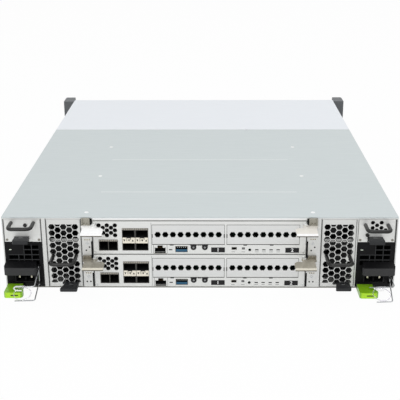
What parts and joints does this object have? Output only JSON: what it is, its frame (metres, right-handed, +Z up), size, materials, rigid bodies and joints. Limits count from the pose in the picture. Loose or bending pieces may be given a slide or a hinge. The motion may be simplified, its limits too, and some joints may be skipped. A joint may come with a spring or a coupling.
{
  "type": "disk shelf enclosure",
  "caption": "Two-unit rack disk shelf: stacked canisters, fan modules, hooded power supplies with batteries at the rear, drive carriers at the front.",
  "frame": {"origin": "centre of the sheet body's footprint, on its base", "axes": "+X to the right when the rear side is looked at, +Y from the rear sockets to the drive side, +Z up"},
  "size_m": [0.4826, 0.6348, 0.0874],
  "materials": {
    "zinc_sheet": "satin zinc-coated sheet",
    "rear_cover_sheet": "satin zinc-coated sheet",
    "front_cover_sheet": "bright zinc-coated sheet",
    "screw_steel": "plain",
    "ear_plastic": "fine grain",
    "canister_sheet": "satin zinc-coated sheet",
    "slot_cover_sheet": "satin zinc-coated sheet",
    "circuit_board": "solder mask",
    "lever_nickel": "nickel plate",
    "psu_black": "fine matt paint",
    "latch_lime": "moulded",
    "bail_wire": "drawn wire",
    "battery_sheet": "satin zinc-coated sheet",
    "latch_black": "moulded",
    "fan_sheet": "satin zinc-coated sheet",
    "rotor_black": "moulded",
    "cage_sheet": "zinc-coated sheet",
    "drive_body": "cast",
    "drive_lever_dark": "moulded"
  },
  "bodies": {
    "enclosure": {"chassis_tub": "zinc_sheet", "rear_cover": "rear_cover_sheet", "front_cover": "front_cover_sheet", "case_screws": "screw_steel", "left_ear": "ear_plastic", "right_ear": "ear_plastic", "drive_cage": "cage_sheet", "midplane": "circuit_board"},
    "drive_01": {"drive_01": "drive_body"},
    "drive_01_lever": {"drive_01_lever": "drive_lever_dark"},
    "drive_02": {"drive_02": "drive_body"},
    "drive_02_lever": {"drive_02_lever": "drive_lever_dark"},
    "drive_03": {"drive_03": "drive_body"},
    "drive_03_lever": {"drive_03_lever": "drive_lever_dark"},
    "drive_04": {"drive_04": "drive_body"},
    "drive_04_lever": {"drive_04_lever": "drive_lever_dark"},
    "drive_05": {"drive_05": "drive_body"},
    "drive_05_lever": {"drive_05_lever": "drive_lever_dark"},
    "drive_06": {"drive_06": "drive_body"},
    "drive_06_lever": {"drive_06_lever": "drive_lever_dark"},
    "drive_07": {"drive_07": "drive_body"},
    "drive_07_lever": {"drive_07_lever": "drive_lever_dark"},
    "drive_08": {"drive_08": "drive_body"},
    "drive_08_lever": {"drive_08_lever": "drive_lever_dark"},
    "drive_09": {"drive_09": "drive_body"},
    "drive_09_lever": {"drive_09_lever": "drive_lever_dark"},
    "drive_10": {"drive_10": "drive_body"},
    "drive_10_lever": {"drive_10_lever": "drive_lever_dark"},
    "drive_11": {"drive_11": "drive_body"},
    "drive_11_lever": {"drive_11_lever": "drive_lever_dark"},
    "drive_12": {"drive_12": "drive_body"},
    "drive_12_lever": {"drive_12_lever": "drive_lever_dark"},
    "lower_canister": {"lower_canister_tray": "canister_sheet", "lower_canister_board": "circuit_board", "lower_slot_covers": "slot_cover_sheet"},
    "lower_left_lever": {"lower_left_lever": "lever_nickel"},
    "lower_right_lever": {"lower_right_lever": "lever_nickel"},
    "upper_canister": {"upper_canister_tray": "canister_sheet", "upper_canister_board": "circuit_board", "upper_slot_covers": "slot_cover_sheet"},
    "upper_left_lever": {"upper_left_lever": "lever_nickel"},
    "upper_right_lever": {"upper_right_lever": "lever_nickel"},
    "left_psu": {"left_psu": "psu_black"},
    "left_psu_latch": {"left_psu_latch": "latch_lime"},
    "left_cord_bail": {"left_cord_bail": "bail_wire"},
    "left_battery": {"left_battery": "battery_sheet"},
    "left_battery_latch": {"left_battery_latch": "latch_black"},
    "left_fan_module": {"left_fan_module": "fan_sheet"},
    "left_fan_latch": {"left_fan_latch": "latch_black"},
    "left_lower_rotor": {"left_lower_rotor": "rotor_black"},
    "left_upper_rotor": {"left_upper_rotor": "rotor_black"},
    "right_psu": {"right_psu": "psu_black"},
    "right_psu_latch": {"right_psu_latch": "latch_lime"},
    "right_cord_bail": {"right_cord_bail": "bail_wire"},
    "right_battery": {"right_battery": "battery_sheet"},
    "right_battery_latch": {"right_battery_latch": "latch_black"},
    "right_fan_module": {"right_fan_module": "fan_sheet"},
    "right_fan_latch": {"right_fan_latch": "latch_black"},
    "right_lower_rotor": {"right_lower_rotor": "rotor_black"},
    "right_upper_rotor": {"right_upper_rotor": "rotor_black"}
  },
  "joints": [
    {"name": "drive_01_slide", "type": "slide", "parent": "enclosure", "child": "drive_01", "axis": [0, 1, 0], "range_m": [0, 0.17]},
    {"name": "drive_01_lever_hinge", "type": "hinge", "parent": "drive_01", "child": "drive_01_lever", "pos_m": [-0.2121, 0.2911, 0.0108], "axis": [0, 0, 1], "range_deg": [0, 50]},
    {"name": "drive_02_slide", "type": "slide", "parent": "enclosure", "child": "drive_02", "axis": [0, 1, 0], "range_m": [0, 0.17]},
    {"name": "drive_02_lever_hinge", "type": "hinge", "parent": "drive_02", "child": "drive_02_lever", "pos_m": [-0.1031, 0.2911, 0.0108], "axis": [0, 0, 1], "range_deg": [0, 50]},
    {"name": "drive_03_slide", "type": "slide", "parent": "enclosure", "child": "drive_03", "axis": [0, 1, 0], "range_m": [0, 0.17]},
    {"name": "drive_03_lever_hinge", "type": "hinge", "parent": "drive_03", "child": "drive_03_lever", "pos_m": [0.0059, 0.2911, 0.0108], "axis": [0, 0, 1], "range_deg": [0, 50]},
    {"name": "drive_04_slide", "type": "slide", "parent": "enclosure", "child": "drive_04", "axis": [0, 1, 0], "range_m": [0, 0.17]},
    {"name": "drive_04_lever_hinge", "type": "hinge", "parent": "drive_04", "child": "drive_04_lever", "pos_m": [0.1149, 0.2911, 0.0108], "axis": [0, 0, 1], "range_deg": [0, 50]},
    {"name": "drive_05_slide", "type": "slide", "parent": "enclosure", "child": "drive_05", "axis": [0, 1, 0], "range_m": [0, 0.17]},
    {"name": "drive_05_lever_hinge", "type": "hinge", "parent": "drive_05", "child": "drive_05_lever", "pos_m": [-0.2121, 0.2911, 0.0387], "axis": [0, 0, 1], "range_deg": [0, 50]},
    {"name": "drive_06_slide", "type": "slide", "parent": "enclosure", "child": "drive_06", "axis": [0, 1, 0], "range_m": [0, 0.17]},
    {"name": "drive_06_lever_hinge", "type": "hinge", "parent": "drive_06", "child": "drive_06_lever", "pos_m": [-0.1031, 0.2911, 0.0387], "axis": [0, 0, 1], "range_deg": [0, 50]},
    {"name": "drive_07_slide", "type": "slide", "parent": "enclosure", "child": "drive_07", "axis": [0, 1, 0], "range_m": [0, 0.17]},
    {"name": "drive_07_lever_hinge", "type": "hinge", "parent": "drive_07", "child": "drive_07_lever", "pos_m": [0.0059, 0.2911, 0.0387], "axis": [0, 0, 1], "range_deg": [0, 50]},
    {"name": "drive_08_slide", "type": "slide", "parent": "enclosure", "child": "drive_08", "axis": [0, 1, 0], "range_m": [0, 0.17]},
    {"name": "drive_08_lever_hinge", "type": "hinge", "parent": "drive_08", "child": "drive_08_lever", "pos_m": [0.1149, 0.2911, 0.0387], "axis": [0, 0, 1], "range_deg": [0, 50]},
    {"name": "drive_09_slide", "type": "slide", "parent": "enclosure", "child": "drive_09", "axis": [0, 1, 0], "range_m": [0, 0.17]},
    {"name": "drive_09_lever_hinge", "type": "hinge", "parent": "drive_09", "child": "drive_09_lever", "pos_m": [-0.2121, 0.2911, 0.0666], "axis": [0, 0, 1], "range_deg": [0, 50]},
    {"name": "drive_10_slide", "type": "slide", "parent": "enclosure", "child": "drive_10", "axis": [0, 1, 0], "range_m": [0, 0.17]},
    {"name": "drive_10_lever_hinge", "type": "hinge", "parent": "drive_10", "child": "drive_10_lever", "pos_m": [-0.1031, 0.2911, 0.0666], "axis": [0, 0, 1], "range_deg": [0, 50]},
    {"name": "drive_11_slide", "type": "slide", "parent": "enclosure", "child": "drive_11", "axis": [0, 1, 0], "range_m": [0, 0.17]},
    {"name": "drive_11_lever_hinge", "type": "hinge", "parent": "drive_11", "child": "drive_11_lever", "pos_m": [0.0059, 0.2911, 0.0666], "axis": [0, 0, 1], "range_deg": [0, 50]},
    {"name": "drive_12_slide", "type": "slide", "parent": "enclosure", "child": "drive_12", "axis": [0, 1, 0], "range_m": [0, 0.17]},
    {"name": "drive_12_lever_hinge", "type": "hinge", "parent": "drive_12", "child": "drive_12_lever", "pos_m": [0.1149, 0.2911, 0.0666], "axis": [0, 0, 1], "range_deg": [0, 50]},
    {"name": "lower_canister_slide", "type": "slide", "parent": "enclosure", "child": "lower_canister", "axis": [0, -1, 0], "range_m": [0, 0.34]},
    {"name": "lower_left_lever_hinge", "type": "hinge", "parent": "lower_canister", "child": "lower_left_lever", "pos_m": [-0.1191, -0.289, 0.0366], "axis": [0, 0, 1], "range_deg": [0, 55]},
    {"name": "lower_right_lever_hinge", "type": "hinge", "parent": "lower_canister", "child": "lower_right_lever", "pos_m": [0.1191, -0.289, 0.0366], "axis": [0, 0, -1], "range_deg": [0, 55]},
    {"name": "upper_canister_slide", "type": "slide", "parent": "enclosure", "child": "upper_canister", "axis": [0, -1, 0], "range_m": [0, 0.34]},
    {"name": "upper_left_lever_hinge", "type": "hinge", "parent": "upper_canister", "child": "upper_left_lever", "pos_m": [-0.1191, -0.289, 0.0775], "axis": [0, 0, 1], "range_deg": [0, 55]},
    {"name": "upper_right_lever_hinge", "type": "hinge", "parent": "upper_canister", "child": "upper_right_lever", "pos_m": [0.1191, -0.289, 0.0775], "axis": [0, 0, -1], "range_deg": [0, 55]},
    {"name": "left_psu_slide", "type": "slide", "parent": "enclosure", "child": "left_psu", "axis": [0, -1, 0], "range_m": [0, 0.22]},
    {"name": "left_psu_latch_press", "type": "slide", "parent": "left_psu", "child": "left_psu_latch", "axis": [1, 0, 0], "range_m": [0, 0.0025], "stiffness_N_per_m": 800},
    {"name": "left_cord_bail_hinge", "type": "hinge", "parent": "left_psu", "child": "left_cord_bail", "pos_m": [-0.1841, -0.29, 0.0117], "axis": [0, 0, 1], "range_deg": [0, 45]},
    {"name": "left_battery_slide", "type": "slide", "parent": "enclosure", "child": "left_battery", "axis": [0, -1, 0], "range_m": [0, 0.22]},
    {"name": "left_battery_latch_press", "type": "slide", "parent": "left_battery", "child": "left_battery_latch", "axis": [-1, 0, 0], "range_m": [0, 0.0025], "stiffness_N_per_m": 800},
    {"name": "left_fan_module_slide", "type": "slide", "parent": "enclosure", "child": "left_fan_module", "axis": [0, -1, 0], "range_m": [0, 0.065]},
    {"name": "left_fan_latch_press", "type": "slide", "parent": "left_fan_module", "child": "left_fan_latch", "axis": [-1, 0, 0], "range_m": [0, 0.0025], "stiffness_N_per_m": 800},
    {"name": "left_lower_rotor_spin", "type": "hinge", "parent": "left_fan_module", "child": "left_lower_rotor", "pos_m": [-0.1539, -0.247, 0.02287], "axis": [0, 1, 0], "continuous": true},
    {"name": "left_upper_rotor_spin", "type": "hinge", "parent": "left_fan_module", "child": "left_upper_rotor", "pos_m": [-0.1539, -0.247, 0.06323], "axis": [0, 1, 0], "continuous": true},
    {"name": "right_psu_slide", "type": "slide", "parent": "enclosure", "child": "right_psu", "axis": [0, -1, 0], "range_m": [0, 0.22]},
    {"name": "right_psu_latch_press", "type": "slide", "parent": "right_psu", "child": "right_psu_latch", "axis": [1, 0, 0], "range_m": [0, 0.0025], "stiffness_N_per_m": 800},
    {"name": "right_cord_bail_hinge", "type": "hinge", "parent": "right_psu", "child": "right_cord_bail", "pos_m": [0.2175, -0.29, 0.0117], "axis": [0, 0, 1], "range_deg": [0, 45]},
    {"name": "right_battery_slide", "type": "slide", "parent": "enclosure", "child": "right_battery", "axis": [0, -1, 0], "range_m": [0, 0.22]},
    {"name": "right_battery_latch_press", "type": "slide", "parent": "right_battery", "child": "right_battery_latch", "axis": [-1, 0, 0], "range_m": [0, 0.0025], "stiffness_N_per_m": 800},
    {"name": "right_fan_module_slide", "type": "slide", "parent": "enclosure", "child": "right_fan_module", "axis": [0, -1, 0], "range_m": [0, 0.065]},
    {"name": "right_fan_latch_press", "type": "slide", "parent": "right_fan_module", "child": "right_fan_latch", "axis": [-1, 0, 0], "range_m": [0, 0.0025], "stiffness_N_per_m": 800},
    {"name": "right_lower_rotor_spin", "type": "hinge", "parent": "right_fan_module", "child": "right_lower_rotor", "pos_m": [0.1576, -0.247, 0.02287], "axis": [0, 1, 0], "continuous": true},
    {"name": "right_upper_rotor_spin", "type": "hinge", "parent": "right_fan_module", "child": "right_upper_rotor", "pos_m": [0.1576, -0.247, 0.06323], "axis": [0, 1, 0], "continuous": true}
  ]
}
